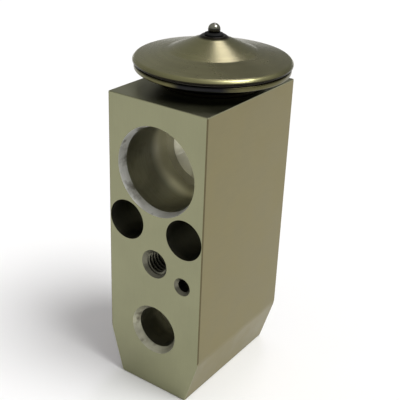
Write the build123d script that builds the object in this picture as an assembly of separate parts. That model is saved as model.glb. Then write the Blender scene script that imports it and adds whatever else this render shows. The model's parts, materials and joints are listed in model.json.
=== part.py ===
from build123d import *
import math
import os

# Block-type thermostatic expansion valve. Millimetres, +Z up.
# The origin lies on the valve axis, in the block's bottom face. X runs across the
# front port face, and -Y points out of that face.

# Aluminium block. Its height follows from the ports and the neck, further down.
BLOCK_WIDTH = 26.0
AXIS_TO_FRONT = 20.0
AXIS_TO_BACK = 14.0
TAPER_INSET = 3.5
TAPER_HEIGHT = 12.0
CREASE_R = 6.0
EDGE_BREAK = 0.25

# Suction passage, right through the block above the bolt holes
SUCTION_PORT_R = 9.7
SUCTION_MOUTH_FLARE = 0.6
SUCTION_CONE_DEPTH = 2.05
SUCTION_FRONT_STEP_TO_AXIS = 3.6
SUCTION_BACK_STEP_TO_AXIS = 4.8
SUCTION_STEP = 2.2
SUCTION_TO_NECK_WALL = 0.8

# Liquid inlet, low on the front face
INLET_Z = 16.2
INLET_PORT_R = 5.1
INLET_MOUTH_FLARE = 1.14
INLET_CONE_DEPTH = 1.5
INLET_PORT_DEPTH = 9.0
INLET_DRILL_R = 3.0

# Evaporator outlet, low on the back face
OUTLET_PORT_R = 6.2
OUTLET_MOUTH_FLARE = 1.1
OUTLET_CONE_DEPTH = 1.5
OUTLET_PORT_DEPTH = 8.0
OUTLET_DRILL_R = 3.2

# Holes in the front face
BOLT_HOLE_R = 4.75
BOLT_SIDE_WALL = 0.32
BOLT_TO_SUCTION_WALL = 1.38
STUD_BELOW_BOLTS = 8.8
STUD_ABOVE_INLET = 17.8
STUD_HOLE_R = 2.5
STUD_MOUTH_FLARE = 1.0
STUD_HOLE_DEPTH = 12.0
LOCATING_X = 7.83
LOCATING_BELOW_STUD = 3.0
LOCATING_R = 1.5
LOCATING_MOUTH_FLARE = 0.7
LOCATING_DEPTH = 6.0

# Clearances
SEAT_GAP = 0.02
PRESS_GAP = 0.02
RUNNING_GAP = 0.08
THREAD_GAP = 0.1
SEAL_GAP = 0.03
TEETH_GAP = 0.35
PIN_BORE_GAP = 0.18

# Chamfers of turned pieces, drill points and how far a cut runs past its face
TURNED_CHAMFER = 0.4
THREAD_CHAMFER = 0.5
DRILL_TIP_DEG = 59.0
OVERRUN = 1.0

# Valve bore, from the bottom face up
SCREW_THREAD_R = 6.0
SCREW_THREAD_LENGTH = 3.6
SCREW_RECESS = 1.8
SCREW_TRAVEL = 1.0
SCREW_END_ROOM = 0.2
CHAMBER_STEP = 0.6
CHAMBER_ABOVE_INLET = 2.8
SEAT_R = 3.6
SEAT_HEIGHT = 2.4
ORIFICE_R = 1.4
SEAT_CHAMFER = 0.7
SEAT_TO_OUTLET_WALL = 0.4
OUTLET_BORE_R = 2.4
OUTLET_TO_GUIDE = 0.4
GUIDE_LENGTH = 4.8
SEAL_POCKET_DEPTH = 3.4

# Ball, carrier and push pin
STROKE = 0.8
BALL_R = 2.2
BALL_LIFT_GAP = 0.03
CARRIER_FLANGE_R = 4.5
CARRIER_FLANGE_T = 1.0
CARRIER_NECK_R = 2.6
CARRIER_SPIGOT_R = 2.8
CARRIER_SPIGOT_LENGTH = 1.8
CARRIER_CUP_RELIEF = 0.176
CARRIER_CUP_LIP = 0.5
CARRIER_CUP_FLOOR = 0.3
PIN_R = 1.25
PIN_TIP_R = 0.8
PIN_STEP_BELOW_GUIDE = 0.4
PIN_IN_ROD = 4.0
ROD_R = 3.0
ROD_SPIGOT_R = 2.0
ROD_FLOOR_GAP = 0.4

# Damper ring that steadies the carrier against the chamber wall
DAMPER_T = 0.3
DAMPER_RIM_INSET = 0.2
DAMPER_ROOT = 0.4
DAMPER_FINGERS = 4
DAMPER_FINGER_DEG = 26.0
DAMPER_RISE = 1.9
DAMPER_BEND = 1.14
DAMPER_TIP_TURN_IN = 0.25
DAMPER_WALL_GAP = 0.12

# Superheat spring
SPRING_WIRE_R = 0.5
SPRING_MEAN_R = 3.75
SPRING_TURNS = 5.5

# Adjusting screw
SCREW_BODY_LENGTH = 6.5
SCREW_HEX_AF = 5.0
SCREW_HEX_DEPTH = 3.6
SCREW_CUP_DEPTH = 2.0
SCREW_CUP_WALL = 0.75
GROOVE_HEIGHT = 1.6
GROOVE_DEPTH = 1.12
GROOVE_TO_CUP = 0.5
SCREW_RUNOUT = 0.6
SCREW_CUP_CHAMFER = 0.3

# Rod seal and its push-on retainer
ROD_SEAL_SECTION_R = 0.82
RETAINER_T = 0.35
RETAINER_DISH = 0.25
RETAINER_TOOTH = 0.5
RETAINER_TEETH = 6
RETAINER_SLOT = 0.8
RETAINER_SLOT_LENGTH = 0.45

# Power element: threaded base, diaphragm and cap
HEAD_R = 17.7
NECK_R = 8.0
NECK_LENGTH = 4.8
NECK_WALL = 1.95
NECK_FLOOR_GAP = 0.2
THROAT_GAP = 0.45
HUB_RIM = 1.2
HUB_HEIGHT = 0.9
SEAL_CAVITY_WIDTH = 2.6
SEAL_CAVITY_HEIGHT = 1.5
SEAL_BULGE_GAP = 0.3
SEAL_ROUNDING = 0.6
BASE_FLOOR_INSET = 2.0
FLANGE_INSET = 0.3
FLANGE_UNDERSIDE = 3.0
FLANGE_T = 1.1
FLANGE_ROUNDING = 0.35
FLANGE_STEP = 1.2
FLANGE_STEP_HEIGHT = 0.1
CLAMP_INSET = 3.1
DIAPHRAGM_T = 0.2
DIAPHRAGM_INSET = 0.8
CORRUGATION = 0.3
CORRUGATION_PITCH = 1.0
CORRUGATION_MARGIN = 0.3
CORRUGATED_WIDTH = 3.4
PAD_T = 1.0
PAD_BOSS_WALL = 2.2
PAD_BOSS_HEIGHT = 1.9
PAD_FLOOR_GAP = 0.08
PAD_VENTS = 4
PAD_VENT_R = 0.9
PAD_VENT_INSET = 2.8
CAP_SHEET = 0.9
CAP_RIM_LIFT = 0.7
CAP_RIM_ROLL = 0.3
CAP_LIP_INSET = 0.7
CAP_SEAT_GAP = 0.2
CAP_DOME_INSET = 0.4
CAP_DOME_DROP = 0.35
CAP_SHOULDER_INSET = 0.8
CAP_SHOULDER_RISE = 0.77
FLARE_R = 10.0
FLARE_RISE = 1.38
BOSS_R = 3.3
BOSS_RISE = 2.85
BOSS_INSIDE_INSET = 0.6
BOSS_INSIDE_DROP = 0.7
CROWN_INSET = 1.1
CROWN_RISE = 0.5
CROWN_INSIDE_INSET = 0.8
CHARGE_HOLE_R = 0.8
PLUG_BALL_R = 1.38
BEAD_RIM_INSET = 0.1
BEAD_HEIGHT = 0.75
BEAD_TOP_INSET = 0.1
BEAD_EDGE_HEIGHT = 0.15

# Places in the block, from the inlet up
COS45 = math.cos(math.radians(45))
FRONT_Y = -AXIS_TO_FRONT
BACK_Y = AXIS_TO_BACK
BLOCK_DEPTH = AXIS_TO_FRONT + AXIS_TO_BACK
SEAT_FACE_Z = INLET_Z + INLET_DRILL_R + CHAMBER_ABOVE_INLET
SEAT_TOP_Z = SEAT_FACE_Z + SEAT_HEIGHT
OUTLET_Z = SEAT_TOP_Z + SEAT_TO_OUTLET_WALL + OUTLET_DRILL_R
GUIDE_LOW_Z = OUTLET_Z + OUTLET_DRILL_R + OUTLET_TO_GUIDE
GUIDE_TOP_Z = GUIDE_LOW_Z + GUIDE_LENGTH
STUD_HOLE_Z = INLET_Z + STUD_ABOVE_INLET
LOCATING_Z = STUD_HOLE_Z - LOCATING_BELOW_STUD
BOLT_Z = STUD_HOLE_Z + STUD_BELOW_BOLTS
BOLT_X = BLOCK_WIDTH / 2 - BOLT_SIDE_WALL - BOLT_HOLE_R
BOLT_TO_SUCTION = BOLT_HOLE_R + BOLT_TO_SUCTION_WALL + SUCTION_PORT_R
SUCTION_Z = BOLT_Z + math.sqrt(BOLT_TO_SUCTION**2 - BOLT_X**2)
SUCTION_PASSAGE_R = SUCTION_PORT_R - SUCTION_STEP
SEAL_POCKET_Z = SUCTION_Z - SUCTION_PASSAGE_R - SEAL_POCKET_DEPTH
NECK_FLOOR_Z = SUCTION_Z + SUCTION_PORT_R + SUCTION_TO_NECK_WALL
BLOCK_HEIGHT = NECK_FLOOR_Z + NECK_FLOOR_GAP + NECK_LENGTH

# Places of the screw, the carrier, the pin and the rod
THREAD_BORE_R = SCREW_THREAD_R + THREAD_GAP
CHAMBER_R = THREAD_BORE_R - CHAMBER_STEP
SCREW_SHOULDER_Z = SCREW_RECESS + SCREW_THREAD_LENGTH
CHAMBER_STEP_Z = SCREW_SHOULDER_Z + SCREW_TRAVEL + SCREW_END_ROOM
SCREW_TOP_Z = SCREW_SHOULDER_Z + SCREW_BODY_LENGTH
CUP_FLOOR_Z = SCREW_TOP_Z - SCREW_CUP_DEPTH
GROOVE_TOP_Z = CUP_FLOOR_Z - GROOVE_TO_CUP
SCREW_BODY_R = CHAMBER_R - RUNNING_GAP
GROOVE_R = SCREW_BODY_R - GROOVE_DEPTH
BALL_Z = SEAT_FACE_Z + ORIFICE_R + SEAT_CHAMFER - 2 * BALL_R * COS45 - BALL_LIFT_GAP
CUP_EDGE_R = BALL_R * COS45 + CARRIER_CUP_LIP
CUP_EDGE_Z = BALL_Z + CUP_EDGE_R - 2 * BALL_R * COS45 - SEAT_GAP
CUP_LOW_Z = BALL_Z - BALL_R - CARRIER_CUP_RELIEF
FLANGE_TOP_Z = CUP_LOW_Z - CARRIER_CUP_FLOOR
FLANGE_LOW_Z = FLANGE_TOP_Z - CARRIER_FLANGE_T
PIN_BORE_R = PIN_R + PIN_BORE_GAP
SEAL_POCKET_R = PIN_R + SEAL_GAP + 2 * ROD_SEAL_SECTION_R + SEAL_GAP
SUCTION_FLOOR_Z = SUCTION_Z - math.sqrt(SUCTION_PASSAGE_R**2 - ROD_R**2)
ROD_LOW_Z = SUCTION_FLOOR_Z + STROKE + ROD_FLOOR_GAP
THROAT_R = ROD_R + THROAT_GAP

# Places of the power element
FLANGE_FACE_Z = BLOCK_HEIGHT + FLANGE_UNDERSIDE + FLANGE_T
FLANGE_R = HEAD_R - FLANGE_INSET
CLAMP_R = HEAD_R - CLAMP_INSET
BASE_FLOOR_R = CLAMP_R - BASE_FLOOR_INSET
SEAL_CAVITY_R = NECK_R + SEAL_CAVITY_WIDTH
HUB_R = SEAL_CAVITY_R + HUB_RIM
PAD_R = CLAMP_R - CORRUGATED_WIDTH
PAD_TOP_Z = FLANGE_FACE_Z - SEAT_GAP
PAD_LOW_Z = PAD_TOP_Z - PAD_T
PAD_BOSS_Z = PAD_LOW_Z - PAD_BOSS_HEIGHT
BASE_FLOOR_Z = PAD_LOW_Z - STROKE - PAD_FLOOR_GAP
CAP_FACE_Z = FLANGE_FACE_Z + DIAPHRAGM_T
CAP_RIM_Z = CAP_FACE_Z + CAP_RIM_LIFT
CAP_SHOULDER_Z = CAP_RIM_Z + CAP_SHOULDER_RISE
FLARE_Z = CAP_SHOULDER_Z + FLARE_RISE
BOSS_Z = FLARE_Z + BOSS_RISE
CROWN_Z = BOSS_Z + CROWN_RISE
CROWN_R = BOSS_R - CROWN_INSET
PLUG_BALL_Z = CROWN_Z + math.sqrt(PLUG_BALL_R**2 - CHARGE_HOLE_R**2) + SEAT_GAP


def turned(*corners):
    """Revolve a closed outline of (radius, height) corners about the valve axis.

    A third number on a corner rounds it by that radius.
    """
    outline = make_face(Polyline(*[corner[:2] for corner in corners], close=True))
    for rounding in sorted({corner[2] for corner in corners if len(corner) > 2}):
        picked = [
            outline.vertices().sort_by_distance((*corner[:2], 0))[0]
            for corner in corners
            if corner[2:] == (rounding,)
        ]
        outline = fillet(picked, rounding)
    return revolve(Plane.XZ * outline, Axis.Z)


def drilled(face_y, into, x, z, steps):
    """Return the tool of a stepped hole along Y, from (depth, radius) steps off one face."""
    mouth = [(0, -OVERRUN), (steps[0][1], -OVERRUN)]
    walls = [(radius, depth) for depth, radius in steps]
    end = [(0, steps[-1][0])] if steps[-1][1] else []
    tool = turned(*mouth, *walls, *end)
    turn = -90 if into > 0 else 90
    return Pos(x, face_y, z) * Rot(turn, 0, 0) * tool


def port_steps(flare, cone_depth, port_r, port_depth, passage_r, passage_depth):
    """Return the steps of a port: a cone that leads in, the tube's socket and a passage."""
    return [
        (0, port_r + flare),
        (cone_depth, port_r),
        (port_depth, port_r),
        (port_depth, passage_r),
        (passage_depth, passage_r),
    ]


def blind_steps(flare, hole_r, depth):
    """Return the steps of a blind hole with a 45 degree mouth and a drill point."""
    point = hole_r / math.tan(math.radians(DRILL_TIP_DEG))
    return [(0, hole_r + flare), (flare, hole_r), (depth, hole_r), (depth + point, 0)]


def block_body():
    """Return the plain block: a drawn bar with tapered lower sides, cut off with broken edges."""
    half, low = BLOCK_WIDTH / 2, BLOCK_WIDTH / 2 - TAPER_INSET
    creases = [(-half, TAPER_HEIGHT), (half, TAPER_HEIGHT)]
    outline = make_face(
        Polyline(
            (-low, 0),
            (low, 0),
            creases[1],
            (half, BLOCK_HEIGHT),
            (-half, BLOCK_HEIGHT),
            creases[0],
            close=True,
        )
    )
    corners = [outline.vertices().sort_by_distance((*crease, 0))[0] for crease in creases]
    bar = extrude(Plane.XZ.offset(-FRONT_Y) * fillet(corners, CREASE_R), -BLOCK_DEPTH)
    smooth = bar.faces().filter_by(GeomType.CYLINDER).edges().filter_by(Axis.Y)
    return chamfer([edge for edge in bar.edges() if edge not in smooth], EDGE_BREAK)


def valve_bore():
    """Return the tool of the stepped bore up the valve axis, bottom face to seal pocket."""
    return turned(
        (0, -OVERRUN),
        (THREAD_BORE_R + TURNED_CHAMFER, -OVERRUN),
        (THREAD_BORE_R + TURNED_CHAMFER, 0),
        (THREAD_BORE_R, TURNED_CHAMFER),
        (THREAD_BORE_R, CHAMBER_STEP_Z - CHAMBER_STEP),
        (CHAMBER_R, CHAMBER_STEP_Z),
        (CHAMBER_R, SEAT_FACE_Z),
        (SEAT_R, SEAT_FACE_Z),
        (SEAT_R, SEAT_TOP_Z + PRESS_GAP),
        (OUTLET_BORE_R, SEAT_TOP_Z + PRESS_GAP),
        (OUTLET_BORE_R, GUIDE_TOP_Z),
        (PIN_BORE_R, GUIDE_TOP_Z),
        (PIN_BORE_R, SEAL_POCKET_Z),
        (SEAL_POCKET_R, SEAL_POCKET_Z),
        (SEAL_POCKET_R, SUCTION_Z),
        (0, SUCTION_Z),
    )


def neck_bore():
    """Return the tool of the threaded bore under the power element and its throat."""
    top = BLOCK_HEIGHT
    return turned(
        (0, SUCTION_Z),
        (THROAT_R, SUCTION_Z),
        (THROAT_R, NECK_FLOOR_Z),
        (NECK_R, NECK_FLOOR_Z),
        (NECK_R, top - TURNED_CHAMFER),
        (NECK_R + TURNED_CHAMFER, top),
        (NECK_R + TURNED_CHAMFER, top + OVERRUN),
        (0, top + OVERRUN),
    )


def valve_block():
    """Return the drilled aluminium block."""
    block = block_body() - valve_bore() - neck_bore()
    back_port_depth = AXIS_TO_BACK - SUCTION_BACK_STEP_TO_AXIS
    front_suction = port_steps(
        SUCTION_MOUTH_FLARE,
        SUCTION_CONE_DEPTH,
        SUCTION_PORT_R,
        AXIS_TO_FRONT - SUCTION_FRONT_STEP_TO_AXIS,
        SUCTION_PASSAGE_R,
        BLOCK_DEPTH - back_port_depth / 2,
    )
    back_suction = front_suction[:2] + [(back_port_depth, SUCTION_PORT_R)]
    inlet = port_steps(
        INLET_MOUTH_FLARE,
        INLET_CONE_DEPTH,
        INLET_PORT_R,
        INLET_PORT_DEPTH,
        INLET_DRILL_R,
        AXIS_TO_FRONT - CHAMBER_R / 2,
    )
    outlet = port_steps(
        OUTLET_MOUTH_FLARE,
        OUTLET_CONE_DEPTH,
        OUTLET_PORT_R,
        OUTLET_PORT_DEPTH,
        OUTLET_DRILL_R,
        BACK_Y + OUTLET_BORE_R / 2,
    )
    stud = blind_steps(STUD_MOUTH_FLARE, STUD_HOLE_R, STUD_HOLE_DEPTH)
    locating = blind_steps(LOCATING_MOUTH_FLARE, LOCATING_R, LOCATING_DEPTH)
    block -= drilled(FRONT_Y, 1, 0, SUCTION_Z, front_suction)
    block -= drilled(BACK_Y, -1, 0, SUCTION_Z, back_suction)
    block -= drilled(FRONT_Y, 1, 0, INLET_Z, inlet)
    block -= drilled(BACK_Y, -1, 0, OUTLET_Z, outlet)
    block -= drilled(FRONT_Y, 1, 0, STUD_HOLE_Z, stud)
    block -= drilled(FRONT_Y, 1, LOCATING_X, LOCATING_Z, locating)
    for side in (-1, 1):
        through = [(BLOCK_DEPTH + OVERRUN, BOLT_HOLE_R)]
        block -= drilled(FRONT_Y, 1, side * BOLT_X, BOLT_Z, through)
    return block


def adjusting_screw():
    """Return the hollow-topped adjusting screw with its hex socket and seal groove."""
    groove_low = GROOVE_TOP_Z - GROOVE_HEIGHT
    body = turned(
        (0, SCREW_RECESS),
        (SCREW_THREAD_R - THREAD_CHAMFER, SCREW_RECESS),
        (SCREW_THREAD_R, SCREW_RECESS + THREAD_CHAMFER),
        (SCREW_THREAD_R, SCREW_SHOULDER_Z - SCREW_RUNOUT),
        (SCREW_BODY_R, SCREW_SHOULDER_Z),
        (SCREW_BODY_R, groove_low),
        (GROOVE_R, groove_low),
        (GROOVE_R, GROOVE_TOP_Z),
        (SCREW_BODY_R, GROOVE_TOP_Z),
        (SCREW_BODY_R, SCREW_TOP_Z - SCREW_CUP_CHAMFER),
        (SCREW_BODY_R - SCREW_CUP_CHAMFER, SCREW_TOP_Z),
        (SCREW_BODY_R - SCREW_CUP_WALL, SCREW_TOP_Z),
        (SCREW_BODY_R - SCREW_CUP_WALL, CUP_FLOOR_Z),
        (0, CUP_FLOOR_Z),
    )
    hexagon = RegularPolygon(SCREW_HEX_AF / 2, 6, major_radius=False)
    socket = extrude(Pos(0, 0, SCREW_RECESS) * hexagon, SCREW_HEX_DEPTH)
    lead_in = Pos(0, 0, SCREW_RECESS) * Cone(
        SCREW_HEX_AF / 2 + THREAD_CHAMFER,
        SCREW_HEX_AF / 2,
        THREAD_CHAMFER,
        align=(Align.CENTER, Align.CENTER, Align.MIN),
    )
    return body - socket - lead_in


def adjusting_screw_seal():
    """Return the O-ring in the adjusting screw's groove."""
    section = (CHAMBER_R - GROOVE_R) / 2 - SEAL_GAP
    return Pos(0, 0, GROOVE_TOP_Z - GROOVE_HEIGHT / 2) * Torus((CHAMBER_R + GROOVE_R) / 2, section)


def superheat_spring():
    """Return the compression spring, with its ends ground flat on screw and carrier."""
    low, high = CUP_FLOOR_Z + SEAT_GAP, FLANGE_LOW_Z - SEAT_GAP
    length = high - low
    pitch = length / (SPRING_TURNS - 0.5)
    path = Helix(pitch, pitch * SPRING_TURNS, SPRING_MEAN_R)
    start = Plane(origin=path @ 0, z_dir=path % 0)
    coil = sweep(start * Circle(SPRING_WIRE_R), path=path, is_frenet=True)
    coil = Pos(0, 0, low - pitch / 4) * coil
    slab = Cylinder(2 * SPRING_MEAN_R, length, align=(Align.CENTER, Align.CENTER, Align.MIN))
    return coil & Pos(0, 0, low) * slab


def ball_carrier():
    """Return the turned carrier: a cup for the ball, a spring flange and a spigot."""
    return turned(
        (0, FLANGE_LOW_Z - CARRIER_SPIGOT_LENGTH),
        (CARRIER_SPIGOT_R - TURNED_CHAMFER, FLANGE_LOW_Z - CARRIER_SPIGOT_LENGTH),
        (CARRIER_SPIGOT_R, FLANGE_LOW_Z - CARRIER_SPIGOT_LENGTH + TURNED_CHAMFER),
        (CARRIER_SPIGOT_R, FLANGE_LOW_Z),
        (CARRIER_FLANGE_R, FLANGE_LOW_Z),
        (CARRIER_FLANGE_R, FLANGE_TOP_Z),
        (CARRIER_NECK_R, FLANGE_TOP_Z),
        (CARRIER_NECK_R, CUP_EDGE_Z),
        (CUP_EDGE_R, CUP_EDGE_Z),
        (CUP_EDGE_R - (CUP_EDGE_Z - CUP_LOW_Z), CUP_LOW_Z),
        (0, CUP_LOW_Z),
    )


def vibration_damper():
    """Return the spring-steel ring on the carrier and its fingers towards the wall."""
    low = FLANGE_TOP_Z + SEAT_GAP
    inner, rim = CARRIER_NECK_R + RUNNING_GAP, CARRIER_FLANGE_R - DAMPER_RIM_INSET
    ring = turned((inner, low), (rim, low), (rim, low + DAMPER_T), (inner, low + DAMPER_T))
    root, wall = rim - DAMPER_ROOT, CHAMBER_R - DAMPER_WALL_GAP
    tip = wall - DAMPER_TIP_TURN_IN
    finger_outline = make_face(
        Polyline(
            (root, low),
            (rim, low),
            (wall, low + DAMPER_BEND),
            (tip, low + DAMPER_RISE),
            (tip - DAMPER_T, low + DAMPER_RISE),
            (wall - DAMPER_T, low + DAMPER_BEND),
            (root, low + DAMPER_T),
            close=True,
        )
    )
    finger = revolve(Plane.XZ * finger_outline, Axis.Z, DAMPER_FINGER_DEG)
    for index in range(DAMPER_FINGERS):
        ring += Rot(0, 0, 45 + index * 360 / DAMPER_FINGERS) * finger
    return ring


def valve_ball():
    """Return the ball that closes the orifice."""
    return Pos(0, 0, BALL_Z) * Sphere(BALL_R)


def orifice_seat():
    """Return the pressed-in seat ring with its orifice and 45 degree seat."""
    outer = SEAT_R - PRESS_GAP
    return turned(
        (ORIFICE_R + SEAT_CHAMFER, SEAT_FACE_Z),
        (outer, SEAT_FACE_Z),
        (outer, SEAT_TOP_Z),
        (ORIFICE_R, SEAT_TOP_Z),
        (ORIFICE_R, SEAT_FACE_Z + SEAT_CHAMFER),
    )


def pin_guide_bush():
    """Return the bush that guides the push pin above the outlet drilling."""
    outer = OUTLET_BORE_R - PRESS_GAP
    inner = PIN_R + RUNNING_GAP
    high, low = GUIDE_TOP_Z - SEAT_GAP, GUIDE_LOW_Z
    return turned((inner, low), (outer, low), (outer, high), (inner, high))


def push_pin():
    """Return the push pin, with its slim tip through the orifice."""
    low = BALL_Z + BALL_R + SEAT_GAP
    step = GUIDE_LOW_Z - PIN_STEP_BELOW_GUIDE
    top = ROD_LOW_Z + PIN_IN_ROD - SEAT_GAP
    return turned(
        (0, low),
        (PIN_TIP_R, low),
        (PIN_TIP_R, step - (PIN_R - PIN_TIP_R)),
        (PIN_R, step),
        (PIN_R, top - TURNED_CHAMFER),
        (PIN_R - TURNED_CHAMFER, top),
        (0, top),
    )


def rod_seal():
    """Return the O-ring round the push pin, in the pocket under the suction passage."""
    middle = PIN_R + SEAL_GAP + ROD_SEAL_SECTION_R
    low = SEAL_POCKET_Z + SEAT_GAP
    return Pos(0, 0, low + ROD_SEAL_SECTION_R) * Torus(middle, ROD_SEAL_SECTION_R)


def rod_seal_retainer():
    """Return the dished, toothed push-on ring that holds the rod seal down."""
    low = SEAL_POCKET_Z + 2 * ROD_SEAL_SECTION_R + 3 * SEAT_GAP
    inner, outer = PIN_R + TEETH_GAP, SEAL_POCKET_R - PRESS_GAP
    bend = inner + RETAINER_TOOTH
    ring = turned(
        (inner, low),
        (bend, low),
        (outer, low + RETAINER_DISH),
        (outer, low + RETAINER_DISH + RETAINER_T),
        (bend, low + RETAINER_T),
        (inner, low + RETAINER_T),
    )
    slot = Pos(outer, 0, low) * Box(2 * RETAINER_SLOT_LENGTH, RETAINER_SLOT, 4 * RETAINER_T)
    for index in range(RETAINER_TEETH):
        ring -= Rot(0, 0, index * 360 / RETAINER_TEETH) * slot
    return ring


def sensing_rod():
    """Return the aluminium rod that crosses the suction gas and pushes the pin."""
    pin_hole_r = PIN_R + PRESS_GAP
    spigot_top = PAD_LOW_Z + PAD_T / 2 - SEAT_GAP
    shoulder = PAD_BOSS_Z - SEAT_GAP
    return turned(
        (pin_hole_r, ROD_LOW_Z),
        (ROD_R - TURNED_CHAMFER, ROD_LOW_Z),
        (ROD_R, ROD_LOW_Z + TURNED_CHAMFER),
        (ROD_R, shoulder),
        (ROD_SPIGOT_R, shoulder),
        (ROD_SPIGOT_R, spigot_top),
        (0, spigot_top),
        (0, ROD_LOW_Z + PIN_IN_ROD),
        (pin_hole_r, ROD_LOW_Z + PIN_IN_ROD),
    )


def diaphragm_pad():
    """Return the pad between diaphragm and sensing rod, with its pressure vents."""
    hole_r = ROD_SPIGOT_R + PRESS_GAP
    hole_top = PAD_LOW_Z + PAD_T / 2
    boss_r = ROD_SPIGOT_R + PAD_BOSS_WALL
    pad = turned(
        (hole_r, PAD_BOSS_Z),
        (boss_r, PAD_BOSS_Z),
        (boss_r, PAD_LOW_Z, TURNED_CHAMFER),
        (PAD_R, PAD_LOW_Z),
        (PAD_R, PAD_TOP_Z, TURNED_CHAMFER),
        (0, PAD_TOP_Z),
        (0, hole_top),
        (hole_r, hole_top),
    )
    vent_x = PAD_R - PAD_VENT_INSET
    vent = Pos(vent_x, 0, PAD_LOW_Z + PAD_T / 2) * Cylinder(PAD_VENT_R, 4 * PAD_T)
    for index in range(PAD_VENTS):
        pad -= Rot(0, 0, index * 360 / PAD_VENTS) * vent
    return pad


def power_element_base():
    """Return the threaded base of the power element, with its hub, dish and flange."""
    top = BLOCK_HEIGHT
    neck_r = NECK_R - THREAD_GAP / 2
    neck_bore_r = neck_r - NECK_WALL
    step_z = top + FLANGE_UNDERSIDE - FLANGE_STEP_HEIGHT
    return turned(
        (neck_bore_r, top - NECK_LENGTH),
        (neck_r - THREAD_CHAMFER, top - NECK_LENGTH),
        (neck_r, top - NECK_LENGTH + THREAD_CHAMFER),
        (neck_r, top + SEAL_CAVITY_HEIGHT),
        (SEAL_CAVITY_R, top + SEAL_CAVITY_HEIGHT),
        (SEAL_CAVITY_R, top + SEAT_GAP),
        (HUB_R, top + SEAT_GAP),
        (HUB_R, top + HUB_HEIGHT, TURNED_CHAMFER),
        (FLANGE_R - FLANGE_STEP, step_z, FLANGE_STEP),
        (FLANGE_R, top + FLANGE_UNDERSIDE, FLANGE_ROUNDING),
        (FLANGE_R, FLANGE_FACE_Z, FLANGE_ROUNDING),
        (CLAMP_R, FLANGE_FACE_Z),
        (BASE_FLOOR_R, BASE_FLOOR_Z),
        (neck_bore_r, BASE_FLOOR_Z),
    )


def power_element_seal():
    """Return the O-ring squeezed in the base's cavity on the block's top face."""
    inner, outer = NECK_R + SEAL_GAP, SEAL_CAVITY_R - SEAL_BULGE_GAP
    low = BLOCK_HEIGHT + SEAT_GAP
    high = BLOCK_HEIGHT + SEAL_CAVITY_HEIGHT - SEAT_GAP
    return turned(
        (inner, low, SEAL_ROUNDING),
        (outer, low, SEAL_ROUNDING),
        (outer, high, SEAL_ROUNDING),
        (inner, high, SEAL_ROUNDING),
    )


def diaphragm():
    """Return the thin disc clamped between base and cap, with its corrugations."""
    low = FLANGE_FACE_Z
    start = PAD_R + CORRUGATION_MARGIN
    count = int((CLAMP_R - CORRUGATION_MARGIN - start) / CORRUGATION_PITCH)
    under = [(0, low)]
    for index in range(count):
        radius = start + index * CORRUGATION_PITCH
        under += [(radius, low), (radius + CORRUGATION_PITCH / 2, low + CORRUGATION)]
    under += [(start + count * CORRUGATION_PITCH, low), (HEAD_R - DIAPHRAGM_INSET, low)]
    over = [(radius, height + DIAPHRAGM_T) for radius, height in reversed(under)]
    return turned(*under, *over)


def power_element_cap():
    """Return the cap: rolled rim, shallow cone, flared boss and charge hole."""
    return turned(
        (CHARGE_HOLE_R, CROWN_Z - CAP_SHEET),
        (CHARGE_HOLE_R, CROWN_Z),
        (CROWN_R, CROWN_Z, 1.0),
        (BOSS_R, BOSS_Z, 0.8),
        (FLARE_R, FLARE_Z, 2.0),
        (HEAD_R - CAP_SHOULDER_INSET, CAP_SHOULDER_Z, 1.0),
        (HEAD_R, CAP_RIM_Z + CAP_RIM_ROLL, CAP_RIM_ROLL),
        (HEAD_R, CAP_RIM_Z - CAP_RIM_ROLL, CAP_RIM_ROLL),
        (HEAD_R - CAP_LIP_INSET, CAP_FACE_Z),
        (CLAMP_R + CAP_SEAT_GAP, CAP_FACE_Z),
        (CLAMP_R - CAP_DOME_INSET, CAP_SHOULDER_Z - CAP_DOME_DROP, 0.5),
        (FLARE_R, FLARE_Z - CAP_SHEET, 1.2),
        (BOSS_R - BOSS_INSIDE_INSET, BOSS_Z - BOSS_INSIDE_DROP),
        (CROWN_R - CROWN_INSIDE_INSET, CROWN_Z - CAP_SHEET),
    )


def charge_plug_ball():
    """Return the ball welded on the charge hole's edge."""
    return Pos(0, 0, PLUG_BALL_Z) * Sphere(PLUG_BALL_R)


def plug_seal_bead():
    """Return the dark bead that seals the plug ball to the crown of the cap."""
    low = CROWN_Z + SEAT_GAP
    rim = CROWN_R - BEAD_RIM_INSET
    bead = turned(
        (CHARGE_HOLE_R + SEAL_GAP, low),
        (rim, low),
        (rim, low + BEAD_EDGE_HEIGHT),
        (PLUG_BALL_R - BEAD_TOP_INSET, low + BEAD_HEIGHT),
        (CHARGE_HOLE_R + SEAL_GAP, low + BEAD_HEIGHT),
    )
    return bead - Pos(0, 0, PLUG_BALL_Z) * Sphere(PLUG_BALL_R + SEAT_GAP)


PIECES = (
    valve_block,
    adjusting_screw,
    adjusting_screw_seal,
    superheat_spring,
    ball_carrier,
    vibration_damper,
    valve_ball,
    orifice_seat,
    pin_guide_bush,
    push_pin,
    rod_seal,
    rod_seal_retainer,
    sensing_rod,
    diaphragm_pad,
    power_element_base,
    power_element_seal,
    diaphragm,
    power_element_cap,
    charge_plug_ball,
    plug_seal_bead,
)

os.makedirs("parts", exist_ok=True)
for piece in PIECES:
    export_step(piece(), f"parts/{piece.__name__}.step")
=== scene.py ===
"""Looks of a block-type expansion valve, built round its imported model.

The origin lies on the valve axis, in the block's bottom face. X runs across the front
port face, -Y points out of that face and +Z is up. Lengths are metres.
"""
import json
import logging
import math
from collections.abc import Callable, Sequence
from dataclasses import dataclass
from enum import Enum

import bmesh
import bpy
from mathutils import Matrix, Vector


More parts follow.
